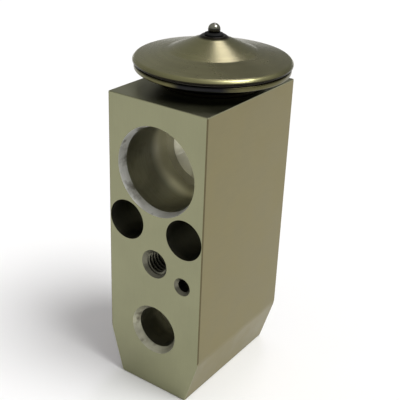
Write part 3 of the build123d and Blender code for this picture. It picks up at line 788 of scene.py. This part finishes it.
@dataclass
class ValveBlock:
    """The aluminium block: a drawn bar with milled faces, ports and bores."""

    materials: Materials
    taper_inset: float = 3.5 * MM
    taper_height: float = 12 * MM
    crease_r: float = 6 * MM
    edge_break: float = 0.25 * MM
    suction_flare: float = 0.6 * MM
    suction_cone: float = 2.05 * MM
    suction_front_step: float = -3.6 * MM
    suction_back_step: float = 4.8 * MM
    suction_overlap: float = 2 * MM
    suction_passage_r: float = 7.5 * MM
    inlet_port: Port = Port(flare=1.14 * MM, cone=1.5 * MM, depth=9 * MM, passage_r=3 * MM)
    outlet_port: Port = Port(flare=1.1 * MM, cone=1.5 * MM, depth=8 * MM, passage_r=3.2 * MM)
    stud_flare: float = 1 * MM
    stud_depth: float = 12 * MM
    stud_thread_depth: float = 0.55 * MM
    stud_runout: float = 2 * MM
    locating_flare: float = 0.7 * MM
    locating_depth: float = 6 * MM
    drill_tip_deg: float = 59.0
    thread_depth: float = 0.5 * MM
    thread_lead: float = 0.5 * MM
    screw_bore_r: float = 6.1 * MM
    screw_bore_top: float = 6.6 * MM
    screw_runout: float = 0.2 * MM
    chamber_r: float = 5.5 * MM
    seat_r: float = 3.6 * MM
    seat_low: float = 22 * MM
    seat_top: float = 24.42 * MM
    outlet_bore_r: float = 2.4 * MM
    guide_top: float = 36.4 * MM
    pin_bore_r: float = 1.43 * MM
    seal_pocket_z: float = 45.6 * MM
    seal_pocket_r: float = 2.95 * MM
    throat_r: float = 3.45 * MM
    neck_r: float = 8 * MM
    neck_length: float = 5 * MM
    neck_runout: float = 0.1 * MM
    mouth: float = 0.4 * MM

    def __post_init__(self) -> None:
        """Take the block's box and its ports from the frame."""
        self.low, self.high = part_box("valve_block")
        self.suction = Mount.named("suction_outlet")
        self.inlet = Mount.named("liquid_inlet")
        self.outlet = Mount.named("evaporator_outlet")
        self.bolts = Mount.named("clamp_bolts")
        self.stud = Mount.named("stud_hole")
        self.locating = Mount.named("locating_hole")

    def bar(self) -> Piece:
        """Model the drawn bar, cut to length, with tapers below and broken edges.

        Returns:
            The bar.
        """
        deselect()
        middle = (self.low + self.high) / 2
        bpy.ops.mesh.primitive_cube_add(size=1, location=middle, scale=self.high - self.low)
        piece = name_new("valve_block_body")
        settle(piece)
        bpy.ops.object.mode_set(mode="EDIT")
        for side in (-1, 1):
            slope = Vector((side * self.taper_height, 0, -self.taper_inset)).normalized()
            cut_off(self.taper_height, slope, side * self.high.x)
        side_x, crease_z = self.high.x, self.taper_height
        pick_vertices(
            piece, lambda point: abs(abs(point.x) - side_x) < MICRON and abs(point.z - crease_z) < MICRON
        )
        width = self.crease_r * math.tan(math.atan2(self.taper_inset, self.taper_height) / 2)
        bpy.ops.mesh.bevel(offset=width, segments=6, affect="EDGES", profile=0.5)
        bpy.ops.mesh.select_all(action="DESELECT")
        mesh = bmesh.from_edit_mesh(piece.data)
        sharp = math.radians(10)
        for edge in mesh.edges:
            edge.select_set(len(edge.link_faces) == 2 and edge.calc_face_angle() > sharp)
        bmesh.update_edit_mesh(piece.data)
        bpy.ops.mesh.bevel(offset=self.edge_break, segments=2, affect="EDGES", profile=0.5)
        bpy.ops.object.mode_set(mode="OBJECT")
        return piece

    def blind(self, name: str, mount: Mount, flare: float, depth: float) -> PlainHole:
        """Plan a blind hole in the front face, with a 45 degree mouth and a drill point.

        Args:
            name: The hole's name.
            mount: Its place and radius.
            flare: How much wider its mouth is.
            depth: How deep it is drilled at its full radius.

        Returns:
            The hole.
        """
        point = mount.radius / math.tan(math.radians(self.drill_tip_deg))
        mouth = ((0.0, mount.radius + flare), (flare, mount.radius))
        steps = (*mouth, (depth, mount.radius), (depth + point, 0.0))
        return PlainHole(name, mount.place.x, mount.place.z, True, steps, "tapped", "tapped")

    def holes(self) -> list[PlainHole]:
        """Plan every hole that is drilled along Y.

        Returns:
            The holes.
        """
        suction, inlet, outlet = self.suction, self.inlet, self.outlet
        front_depth = self.suction_front_step - self.low.y
        front_port = Port(self.suction_flare, self.suction_cone, front_depth, self.suction_passage_r)
        passage_end = self.suction_back_step - self.low.y + self.suction_overlap
        front_steps = front_port.steps(suction.radius, passage_end)
        back_steps = (*front_steps[:2], (self.high.y - self.suction_back_step, suction.radius))
        inlet_steps = self.inlet_port.steps(inlet.radius, -self.low.y - self.chamber_r / 2)
        outlet_steps = self.outlet_port.steps(outlet.radius, self.high.y + self.outlet_bore_r / 2)
        bolt_steps = ((self.high.y - self.low.y + OVERRUN, self.bolts.radius),)
        bolt_x = self.bolts.spacing / 2
        return [
            PlainHole("suction_front", 0, suction.place.z, True, front_steps),
            PlainHole("suction_back", 0, suction.place.z, False, back_steps),
            PlainHole("inlet", 0, inlet.place.z, True, inlet_steps, mouth="inlet_lead_in"),
            PlainHole("outlet", 0, outlet.place.z, False, outlet_steps),
            self.blind("stud", self.stud, self.stud_flare, self.stud_depth),
            self.blind("locating", self.locating, self.locating_flare, self.locating_depth),
            *(
                PlainHole("bolt", side * bolt_x, self.bolts.place.z, True, bolt_steps, "cored")
                for side in (-1, 1)
            ),
        ]

    def face_y(self, hole: PlainHole) -> float:
        """Return where the face lies that a hole starts from."""
        return self.low.y if hole.from_front else self.high.y

    def valve_bore(self) -> Piece:
        """Model the tool of the stepped bore up the valve axis.

        Returns:
            The tool.
        """
        crest_r = self.screw_bore_r - self.thread_depth
        mouth_r = self.screw_bore_r + self.mouth
        corners = [
            Corner(0, -OVERRUN),
            Corner(mouth_r, -OVERRUN),
            Corner(mouth_r, 0),
            Corner(crest_r, mouth_r - crest_r),
            Corner(crest_r, self.screw_bore_top),
            Corner(self.chamber_r, self.screw_bore_top + crest_r - self.chamber_r),
        ]
        tops = (
            (self.chamber_r, self.seat_low),
            (self.seat_r, self.seat_top),
            (self.outlet_bore_r, self.guide_top),
            (self.pin_bore_r, self.seal_pocket_z),
            (self.seal_pocket_r, self.suction.place.z),
            (0, self.suction.place.z),
        )
        for (radius, top), (next_r, _) in zip(tops, tops[1:]):
            corners += [Corner(radius, top), Corner(next_r, top)]
        return turned("valve_bore", corners, SMALL_ROUND)

    def neck_bore(self) -> Piece:
        """Model the tool of the bore under the power element and its throat.

        Returns:
            The tool.
        """
        top, throat_low = self.high.z, self.suction.place.z
        crest_r = self.neck_r - self.thread_depth
        mouth_r = self.neck_r + self.mouth
        corners = (
            Corner(0, throat_low),
            Corner(self.throat_r, throat_low),
            Corner(self.throat_r, top - self.neck_length),
            Corner(crest_r, top - self.neck_length),
            Corner(crest_r, top - self.neck_r - self.mouth + crest_r),
            Corner(mouth_r, top),
            Corner(mouth_r, top + OVERRUN),
            Corner(0, top + OVERRUN),
        )
        return turned("neck_bore", corners)

    def threads(self) -> tuple[Piece, ...]:
        """Model the tools of the threads in the stud hole, the screw's bore and the neck's bore.

        Returns:
            The tools.
        """
        stud = Thread(self.stud.radius + self.stud_thread_depth, self.stud_thread_depth)
        stud_tool = stud.rod("stud_thread", -self.thread_lead, self.stud_depth - self.stud_runout)
        stud_tool.rotation_euler = (math.radians(-90), 0, 0)
        stud_tool.location = (self.stud.place.x, self.low.y, self.stud.place.z)
        settle(stud_tool)
        screw = Thread(self.screw_bore_r, self.thread_depth)
        neck = Thread(self.neck_r, self.thread_depth)
        top, neck_low = self.high.z, self.high.z - self.neck_length + self.neck_runout
        return (
            stud_tool,
            screw.rod("screw_thread", -self.thread_lead, self.screw_bore_top - self.screw_runout),
            neck.rod("neck_thread", neck_low, top + self.thread_lead),
        )

    def paint(self, piece: Piece) -> None:
        """Give each face the finish of the tool that made it, and the broken upright edges a darker colour as
        painted shade.

        Args:
            piece: The finished block.
        """
        names = (
            "extruded", "milled", "edge_painted_shade", "bored", "lead_in", "inlet_lead_in", "spot_faced",
            "cored", "tapped", "reamed",
        )
        dress(piece, *(self.materials[name] for name in names))
        taper = Vector((self.taper_height, 0, -self.taper_inset)).normalized()
        corner = Vector((self.high.x, 0, self.taper_height))
        mirrored = Vector((-1, 1, 1))
        planes = (
            (self.low, Vector((0, -1, 0)), "milled"),
            (self.high, Vector((0, 1, 0)), "milled"),
            (self.high, Vector((0, 0, 1)), "milled"),
            (self.low, Vector((0, 0, -1)), "milled"),
            (self.high, Vector((1, 0, 0)), "extruded"),
            (self.low, Vector((-1, 0, 0)), "extruded"),
            (corner, taper, "extruded"),
            (corner * mirrored, taper * mirrored, "extruded"),
        )
        holes = self.holes()
        upright_top = self.high.z - self.edge_break
        for face in piece.data.polygons:
            gaps = sorted(
                ((point - face.center).dot(normal), index) for index, (point, normal, _) in enumerate(planes)
            )
            (gap, nearest), (next_gap, second) = gaps[:2]
            finish, next_finish = planes[nearest][2], planes[second][2]
            in_plane = gap < MICRON and face.normal.dot(planes[nearest][1]) > 0.999
            if in_plane or (next_gap < self.edge_break and finish == next_finish):
                name = finish
            # Broken edges between faces of two finishes: the upright ones above the tapers get the darker
            # painted shade, the others stay milled.
            elif next_gap < self.edge_break:
                name = "edge_painted_shade" if self.taper_height < face.center.z < upright_top else "milled"
            else:
                name = self.hole_finish(holes, face)
            face.material_index = names.index(name)

    def hole_finish(self, holes: Sequence[PlainHole], face: bpy.types.MeshPolygon) -> str:
        """Return the finish of a face inside the block, which is reamed if no hole along Y has it."""
        found = (hole.finish(face.center, face.normal, self.face_y(hole)) for hole in holes)
        return next((name for name in found if name), "reamed")

    def build(self) -> None:
        """Model, dress and place the block."""
        piece = self.bar()
        combine(piece, self.valve_bore())
        combine(piece, self.neck_bore())
        for hole in self.holes():
            combine(piece, hole.tool(self.face_y(hole)))
        for tool in self.threads():
            combine(piece, tool)
        self.paint(piece)
        smooth(piece)
        stand_in(piece, "valve_block", "block")


@dataclass
class PowerElement:
    """The head: base with its threaded neck, cap, plug ball and sealing bead."""

    materials: Materials
    neck_r: float = 7.95 * MM
    neck_wall: float = 1.95 * MM
    neck_thread_rise: float = 0.5 * MM
    thread_depth: float = 0.5 * MM
    cavity_r: float = 10.6 * MM
    cavity_height: float = 1.5 * MM
    hub_r: float = 11.8 * MM
    hub_height: float = 0.9 * MM
    hub_gap: float = 0.02 * MM
    hub_edge: float = 0.1 * MM
    hub_root: float = 0.4 * MM
    dish_rounding: float = 1.2 * MM
    dish_drop: float = 0.1 * MM
    flange_underside: float = 3 * MM
    flange_rounding: float = 0.35 * MM
    clamp_inset: float = 3.1 * MM
    floor_inset: float = 2 * MM
    floor_below_face: float = 1.9 * MM
    sheet: float = 0.9 * MM
    rim_lift: float = 0.7 * MM
    rim_drop: float = 0.3 * MM
    rim_inset: float = 0.7 * MM
    rim_low_rounding: float = 0.06 * MM
    rim_high_rounding: float = 0.15 * MM
    edge_rise: float = 0.03 * MM
    edge_inset: float = 0.5 * MM
    edge_top: float = 0.7 * MM
    edge_rounding: float = 0.8 * MM
    shoulder_rise: float = 0.77 * MM
    inner_shoulder_drop: float = 0.35 * MM
    inner_shoulder_rounding: float = 0.5 * MM
    wall_outset: float = 0.2 * MM
    wall_inset: float = 0.4 * MM
    flare_r: float = 10 * MM
    flare_rise: float = 1.38 * MM
    flare_rounding: float = 3 * MM
    inner_flare_rounding: float = 1.2 * MM
    boss_r: float = 3.3 * MM
    boss_rise: float = 2.85 * MM
    boss_rounding: float = 0.8 * MM
    boss_wall: float = 0.6 * MM
    boss_drop: float = 0.7 * MM
    crown_r: float = 2.65 * MM
    crown_rounding: float = 0.6 * MM
    crown_wall: float = 1.25 * MM
    charge_hole_r: float = 0.8 * MM
    weld_flat: float = 0.12 * MM
    bead_gap: float = 0.02 * MM
    bead_edge: float = 0.3 * MM
    bead_rise: float = 0.54 * MM
    bead_rounding: float = 0.2 * MM
    bead_foot_rounding: float = 0.04 * MM
    bead_top_width: float = 0.12 * MM
    bead_top_rounding: float = 0.06 * MM

    def __post_init__(self) -> None:
        """Take the head's places from the frame."""
        self.block_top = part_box("valve_block")[1].z
        self.base_low, self.base_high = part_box("power_element_base")
        self.cap_low, self.cap_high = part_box("power_element_cap")
        self.bead_low, self.bead_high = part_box("plug_seal_bead")
        self.ball_low, self.ball_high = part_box("charge_plug_ball")
        self.ball_r = (self.ball_high.z - self.ball_low.z) / 2
        self.clamp_r = self.cap_high.x - self.clamp_inset

    def base(self) -> Piece:
        """Model the base, from its threaded neck to the flange under the cap.

        Returns:
            The base.
        """
        top, low = self.block_top, self.base_low.z
        flange_r, face = self.base_high.x, self.base_high.z
        bore_r = self.neck_r - self.neck_wall
        core_r = self.neck_r - self.thread_depth
        floor = face - self.floor_below_face
        flange_z = top + self.flange_underside
        corners = (
            Corner(bore_r, low),
            Corner(core_r, low),
            Corner(core_r, top),
            Corner(self.neck_r, top),
            Corner(self.neck_r, top + self.cavity_height),
            Corner(self.cavity_r, top + self.cavity_height),
            Corner(self.cavity_r, top + self.hub_gap),
            Corner(self.hub_r, top + self.hub_gap, self.hub_edge),
            Corner(self.hub_r, top + self.hub_height, self.hub_root),
            Corner(flange_r - self.dish_rounding, flange_z - self.dish_drop, self.dish_rounding),
            Corner(flange_r, flange_z, self.flange_rounding),
            Corner(flange_r, face, self.flange_rounding),
            Corner(self.clamp_r, face),
            Corner(self.clamp_r - self.floor_inset, floor),
            Corner(bore_r, floor),
        )
        piece = turned("power_element_base_body", corners, BASE_ROUND)
        rod = Thread(self.neck_r, self.thread_depth).rod("neck_male", low, top + self.neck_thread_rise)
        middle = (bore_r + core_r) / 2
        core = (
            Corner(0, low - OVERRUN),
            Corner(middle, low - OVERRUN),
            Corner(middle, top + OVERRUN),
            Corner(0, top + OVERRUN),
        )
        combine(rod, turned("neck_core", core, SMALL_ROUND))
        combine(piece, rod, Joint.ADD)
        return piece

    def cap(self) -> Piece:
        """Model the cap: rolled rim, shallow cone, flared boss and charge hole.

        Returns:
            The cap.
        """
        rim_r, crown = self.cap_high.x, self.cap_high.z
        face = self.cap_low.z
        rim = face + self.rim_lift
        shoulder = rim + self.shoulder_rise
        flare = shoulder + self.flare_rise
        boss = flare + self.boss_rise
        inner_shoulder = shoulder - self.inner_shoulder_drop
        corners = (
            Corner(self.charge_hole_r, crown - self.sheet),
            Corner(self.charge_hole_r, crown),
            Corner(self.crown_r, crown, self.crown_rounding),
            Corner(self.boss_r, boss, self.boss_rounding),
            Corner(self.flare_r, flare, self.flare_rounding),
            Corner(rim_r - self.edge_inset, rim + self.edge_top, self.edge_rounding),
            Corner(rim_r, rim + self.edge_rise, self.rim_high_rounding),
            Corner(rim_r, rim - self.rim_drop, self.rim_low_rounding),
            Corner(rim_r - self.rim_inset, face),
            Corner(self.clamp_r + self.wall_outset, face),
            Corner(self.clamp_r - self.wall_inset, inner_shoulder, self.inner_shoulder_rounding),
            Corner(self.flare_r, flare - self.sheet, self.inner_flare_rounding),
            Corner(self.boss_r - self.boss_wall, boss - self.boss_drop),
            Corner(self.crown_r - self.crown_wall, crown - self.sheet),
        )
        return turned("power_element_cap_shell", corners, CAP_ROUND)

    def plug_ball(self) -> Piece:
        """Model the plug ball, with the flat that its weld leaves round the charge hole.

        Returns:
            The ball.
        """
        deselect()
        middle = (self.ball_low + self.ball_high) / 2
        bpy.ops.mesh.primitive_ico_sphere_add(subdivisions=5, radius=self.ball_r, location=middle)
        piece = name_new("plug_ball")
        settle(piece)
        bpy.ops.object.mode_set(mode="EDIT")
        cut_off(self.ball_low.z + self.weld_flat, Vector((0, 0, -1)))
        bpy.ops.object.mode_set(mode="OBJECT")
        return piece

    def bead(self) -> Piece:
        """Model the bead of sealant round the foot of the plug ball.

        Returns:
            The bead.
        """
        low, rim_r = self.bead_low.z, self.bead_high.x
        high = low + self.bead_rise
        middle = (self.ball_high.z + self.ball_low.z) / 2
        heights = (low, (low + high) / 2, high)
        inner_low, inner_mid, inner_high = (
            math.sqrt((self.ball_r + self.bead_gap) ** 2 - (middle - height) ** 2) for height in heights
        )
        corners = (
            Corner(inner_low, low),
            Corner(rim_r, low, self.bead_foot_rounding),
            Corner(rim_r, low + self.bead_edge, self.bead_rounding),
            Corner(inner_high + self.bead_top_width, high, self.bead_top_rounding),
            Corner(inner_high, high),
            Corner(inner_mid, (low + high) / 2),
        )
        return turned("plug_bead", corners, SMALL_ROUND)

    def build(self) -> None:
        """Model, dress and place the four pieces."""
        rows = (
            (self.base(), "base_stainless_painted_shade", "power_element_base", "head_stainless"),
            (self.cap(), "cap_steel", "power_element_cap", "head_stainless"),
            (self.plug_ball(), "plug_ball_painted_shade", "charge_plug_ball", "bright_steel"),
            (self.bead(), "sealant", "plug_seal_bead", "dark_sealant"),
        )
        for piece, finish, node, slot in rows:
            dress(piece, self.materials[finish])
            smooth(piece)
            stand_in(piece, node, "block")


@dataclass
class SuperheatSet:
    """The adjusting screw and the spring that it loads."""

    materials: Materials
    thread_r: float = 6 * MM
    thread_depth: float = 0.5 * MM
    thread_top: float = 5.4 * MM
    thread_runout: float = 0.4 * MM
    relief: float = 0.1 * MM
    relief_height: float = 0.6 * MM
    body_r: float = 5.42 * MM
    body_rounding: float = 0.25 * MM
    cup_depth: float = 2 * MM
    cup_wall: float = 0.75 * MM
    groove_height: float = 1.6 * MM
    groove_depth: float = 1.12 * MM
    groove_to_cup: float = 0.5 * MM
    groove_edge: float = 0.08 * MM
    root_rounding: float = 0.15 * MM
    hex_af: float = 5 * MM
    hex_depth: float = 3.6 * MM
    hex_lead: float = 0.5 * MM
    drill_share: float = 0.8
    drill_shy: float = 0.2 * MM
    drill_point: float = 0.9 * MM
    wire_r: float = 0.5 * MM
    wire_sides: int = 16
    spring_turns: float = 5.5
    steps_per_turn: int = 36
    blunt_deg: float = 40.0

    def __post_init__(self) -> None:
        """Take the pieces' places from the frame."""
        self.screw_low, self.screw_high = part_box("adjusting_screw")
        self.spring_low, self.spring_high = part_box("superheat_spring")

    def screw(self) -> Piece:
        """Model the adjusting screw with its thread, groove, cup and hex socket.

        Returns:
            The screw.
        """
        low, top = self.screw_low.z, self.screw_high.z
        core_r = self.thread_r - self.thread_depth
        relief_r = core_r - self.relief
        floor = top - self.cup_depth
        groove_top = floor - self.groove_to_cup
        groove_low = groove_top - self.groove_height
        groove_r = self.body_r - self.groove_depth
        cup_r = self.body_r - self.cup_wall
        corners = (
            Corner(0, low),
            Corner(relief_r, low),
            Corner(relief_r, self.thread_top - self.relief_height),
            Corner(self.body_r, self.thread_top),
            Corner(self.body_r, groove_low, self.groove_edge),
            Corner(groove_r, groove_low, self.root_rounding),
            Corner(groove_r, groove_top, self.root_rounding),
            Corner(self.body_r, groove_top, self.groove_edge),
            Corner(self.body_r, top, self.body_rounding),
            Corner(cup_r, top),
            Corner(cup_r, floor, self.root_rounding),
            Corner(0, floor),
        )
        piece = turned("adjusting_screw_body", corners, SMALL_ROUND)
        thread = Thread(self.thread_r, self.thread_depth, overlap=0.0)
        rod = thread.rod("screw_male", low, self.thread_top - self.thread_runout)
        bevel_r = core_r + self.relief
        bevel = (
            Corner(0, low - OVERRUN),
            Corner(bevel_r - OVERRUN, low - OVERRUN),
            Corner(bevel_r + 2 * OVERRUN, low + 2 * OVERRUN),
            Corner(bevel_r + 2 * OVERRUN, top),
            Corner(0, top),
        )
        combine(rod, turned("screw_end", bevel, SMALL_ROUND), Joint.SHARED)
        combine(piece, rod, Joint.ADD)
        combine(piece, self.socket())
        return piece

    def socket(self) -> Piece:
        """Model the tool of the hex socket, with its lead-in and drill point.

        Returns:
            The tool.
        """
        low, half = self.screw_low.z, self.hex_af / 2
        deselect()
        bpy.ops.mesh.primitive_cylinder_add(
            vertices=6,
            radius=half / math.cos(math.radians(30)),
            depth=self.hex_depth + OVERRUN,
            location=(0, 0, low - OVERRUN / 2 + self.hex_depth / 2),
        )
        tool = name_new("hex_socket")
        settle(tool)
        cone = (
            Corner(0, low - OVERRUN),
            Corner(half + self.hex_lead + OVERRUN, low - OVERRUN),
            Corner(half, low + self.hex_lead),
            Corner(half * self.drill_share, low + self.hex_depth - self.drill_shy),
            Corner(0, low + self.hex_depth + self.drill_point),
        )
        combine(tool, turned("socket_lead", cone, SMALL_ROUND), Joint.ADD)
        return tool

    def spring(self) -> Piece:
        """Model the coil spring, with both ends ground flat.

        Returns:
            The spring.
        """
        low, high = self.spring_low.z, self.spring_high.z
        pitch = (high - low) / (self.spring_turns - 0.5)
        deselect()
        bpy.ops.mesh.primitive_circle_add(
            vertices=self.wire_sides,
            radius=self.wire_r,
            location=(self.spring_high.x - self.wire_r, 0, low - pitch / 4),
            rotation=(math.radians(90), 0, 0),
        )
        piece = name_new("superheat_spring_coil")
        settle(piece)
        coil = piece.modifiers.new("coil", "SCREW")
        coil.angle = math.tau * self.spring_turns
        coil.screw_offset = pitch * self.spring_turns
        coil.steps = coil.render_steps = round(self.steps_per_turn * self.spring_turns)
        apply_all(piece)
        bpy.ops.object.mode_set(mode="EDIT")
        bpy.ops.mesh.select_all(action="SELECT")
        bpy.ops.mesh.fill_holes(sides=0)
        bpy.ops.mesh.select_all(action="SELECT")
        bpy.ops.mesh.normals_make_consistent(inside=False)
        trim(low, high)
        bpy.ops.object.mode_set(mode="OBJECT")
        activate(piece)
        bpy.ops.object.shade_smooth_by_angle(angle=math.radians(self.blunt_deg))
        return piece

    def build(self) -> None:
        """Model, dress and place both pieces."""
        screw = self.screw()
        dress(screw, self.materials["brass"])
        smooth(screw)
        stand_in(screw, "adjusting_screw", "screw")
        spring = self.spring()
        dress(spring, self.materials["spring_steel"])
        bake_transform(spring)
        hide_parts("superheat_spring")
        report(spring)


def dress_inner_pieces(materials: Materials) -> None:
    """Give every node that stays shown the finish of its own metal or rubber.

    Args:
        materials: The material of each finish.
    """
    rows = {
        "adjusting_screw_seal": "rubber",
        "ball_carrier": "brass",
        "vibration_damper": "spring_steel",
        "valve_ball": "bright_steel",
        "orifice_seat": "bright_steel",
        "pin_guide_bush": "brass",
        "push_pin": "bright_steel",
        "rod_seal": "rubber",
        "rod_seal_retainer": "spring_steel",
        "sensing_rod": "rod_aluminium",
        "diaphragm_pad": "brass",
        "power_element_seal": "rubber",
        "diaphragm": "dark_steel",
    }
    for node, finish in rows.items():
        dress(frame["nodes"][node], materials[finish])
        LOG.info("%s: dressed", node)


@dataclass(frozen=True)
class WideLamp:
    """A far lamp that is as wide as a soft box overhead."""

    name: str
    towards: Direction
    width_deg: float
    strength: float
    colour: Colour = (1.0, 1.0, 1.0)

    def build(self) -> None:
        """Add the lamp."""
        lamp = bpy.data.lights.new(self.name, "SUN")
        lamp.angle = math.radians(self.width_deg)
        lamp.energy = self.strength
        lamp.color = self.colour
        holder = bpy.data.objects.new(self.name, lamp)
        bpy.context.scene.collection.objects.link(holder)
        holder.rotation_euler = (-Vector(self.towards)).to_track_quat("-Z", "Y").to_euler()


@dataclass
class Studio:
    """The pale floor, the soft light and the camera."""

    camera_mm: Direction = (96.75, -142.64, 126.9)
    azimuth_deg: float = 34.7
    elevation_deg: float = 26.1
    roll_deg: float = 2.2
    lens_mm: float = 72.45
    sensor_mm: float = 36.0
    nearest: float = 0.01
    floor_colour: Colour = (0.93, 0.93, 0.92)
    floor_width: float = 12.0
    room_colour: Colour = (1.0, 0.995, 0.98)
    overhead: float = 2.3
    behind: float = 0.27
    horizon: float = 0.26
    zenith: float = 0.5
    back_left: float = 0.41
    back_middle: float = 0.27
    back_right: float = 0.26

    def floor(self) -> None:
        """Add the floor, level with the block's bottom face."""
        deselect()
        bpy.ops.mesh.primitive_plane_add(size=self.floor_width, location=(0, 0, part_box("valve_block")[0].z))
        floor = name_new("studio_floor")
        settle(floor)
        graph = Surface("pale_floor")
        speckle = graph.ramp(graph.noise((0.02, 0.02, 0.02), 2.0), NOISE_SPAN)
        dimmer = tuple(part * 0.985 for part in self.floor_colour)
        graph.give(
            Base_Color=graph.mixed(speckle, self.floor_colour, dimmer), Roughness=0.9, Specular_IOR_Level=0.1
        )
        dress(floor, graph.material)

    def lamps(self) -> None:
        """Light the valve from overhead, with a smaller lamp high up behind it."""
        WideLamp("overhead", (0.45, 0.08, 0.89), 30, self.overhead).build()
        WideLamp("behind", (-0.17, 0.52, 0.84), 16, self.behind, (0.93, 0.86, 1.06)).build()

    def room(self) -> None:
        """Surround the valve with a soft room, lighter overhead and darker behind it."""
        azimuth = math.radians(self.azimuth_deg)
        ahead = (-math.sin(azimuth), math.cos(azimuth), 0)
        rightwards = (math.cos(azimuth), math.sin(azimuth), 0)
        world = bpy.data.worlds.new("soft_room")
        bpy.context.scene.world = world
        world.use_nodes = True
        graph = Graph(world.node_tree)
        towards = graph.coordinates.outputs["Generated"]
        side = graph.along(towards, rightwards)
        behind = graph.ramp(graph.along(towards, ahead), (0.3, 0.6))
        around = graph.ramp(graph.along(towards, (0, 0, 1)), (0.0, 1.0), (self.horizon, self.zenith))
        left = graph.ramp(side, (-0.13, -0.07), (self.back_left - self.back_middle, 0))
        right = graph.ramp(side, (-0.02, 0.08), (0, self.back_right - self.back_middle))
        back = graph.math("ADD", graph.math("ADD", left, right), self.back_middle)
        difference = graph.math("MULTIPLY", graph.math("SUBTRACT", back, around), behind)
        strength = graph.math("ADD", around, difference)
        light = graph.node("Background", {"Color": (*self.room_colour, 1.0), "Strength": strength})
        graph.node("OutputWorld", {"Surface": light.outputs["Background"]})

    def camera(self) -> None:
        """Add the camera at the photograph's angle."""
        azimuth, elevation, roll = (
            math.radians(angle) for angle in (self.azimuth_deg, self.elevation_deg, self.roll_deg)
        )
        flat = math.cos(elevation)
        ahead = Vector((-math.sin(azimuth) * flat, math.cos(azimuth) * flat, -math.sin(elevation)))
        level = Vector((math.cos(azimuth), math.sin(azimuth), 0))
        upright = level.cross(ahead)
        right = level * math.cos(roll) + upright * math.sin(roll)
        up = upright * math.cos(roll) - level * math.sin(roll)
        lens = bpy.data.cameras.new("photo_view")
        lens.lens = self.lens_mm
        lens.sensor_width = self.sensor_mm
        lens.clip_start = self.nearest
        holder = bpy.data.objects.new("photo_view", lens)
        bpy.context.scene.collection.objects.link(holder)
        turn = Matrix((right, up, -ahead)).transposed().to_4x4()
        holder.matrix_world = Matrix.Translation(Vector(self.camera_mm) * MM) @ turn
        bpy.context.scene.camera = holder

    def build(self) -> None:
        """Add everything round the valve."""
        self.camera()
        self.floor()
        self.lamps()
        self.room()
        bpy.context.scene.view_settings.view_transform = "Standard"


def main() -> None:
    """Build the studio and every piece, in order."""
    logging.basicConfig(level=logging.INFO, format="%(name)s %(message)s")
    Studio().build()
    materials = {name: finish.material() for name, finish in finishes().items()}
    ValveBlock(materials).build()
    PowerElement(materials).build()
    SuperheatSet(materials).build()
    dress_inner_pieces(materials)


if __name__ == "__main__":
    main()
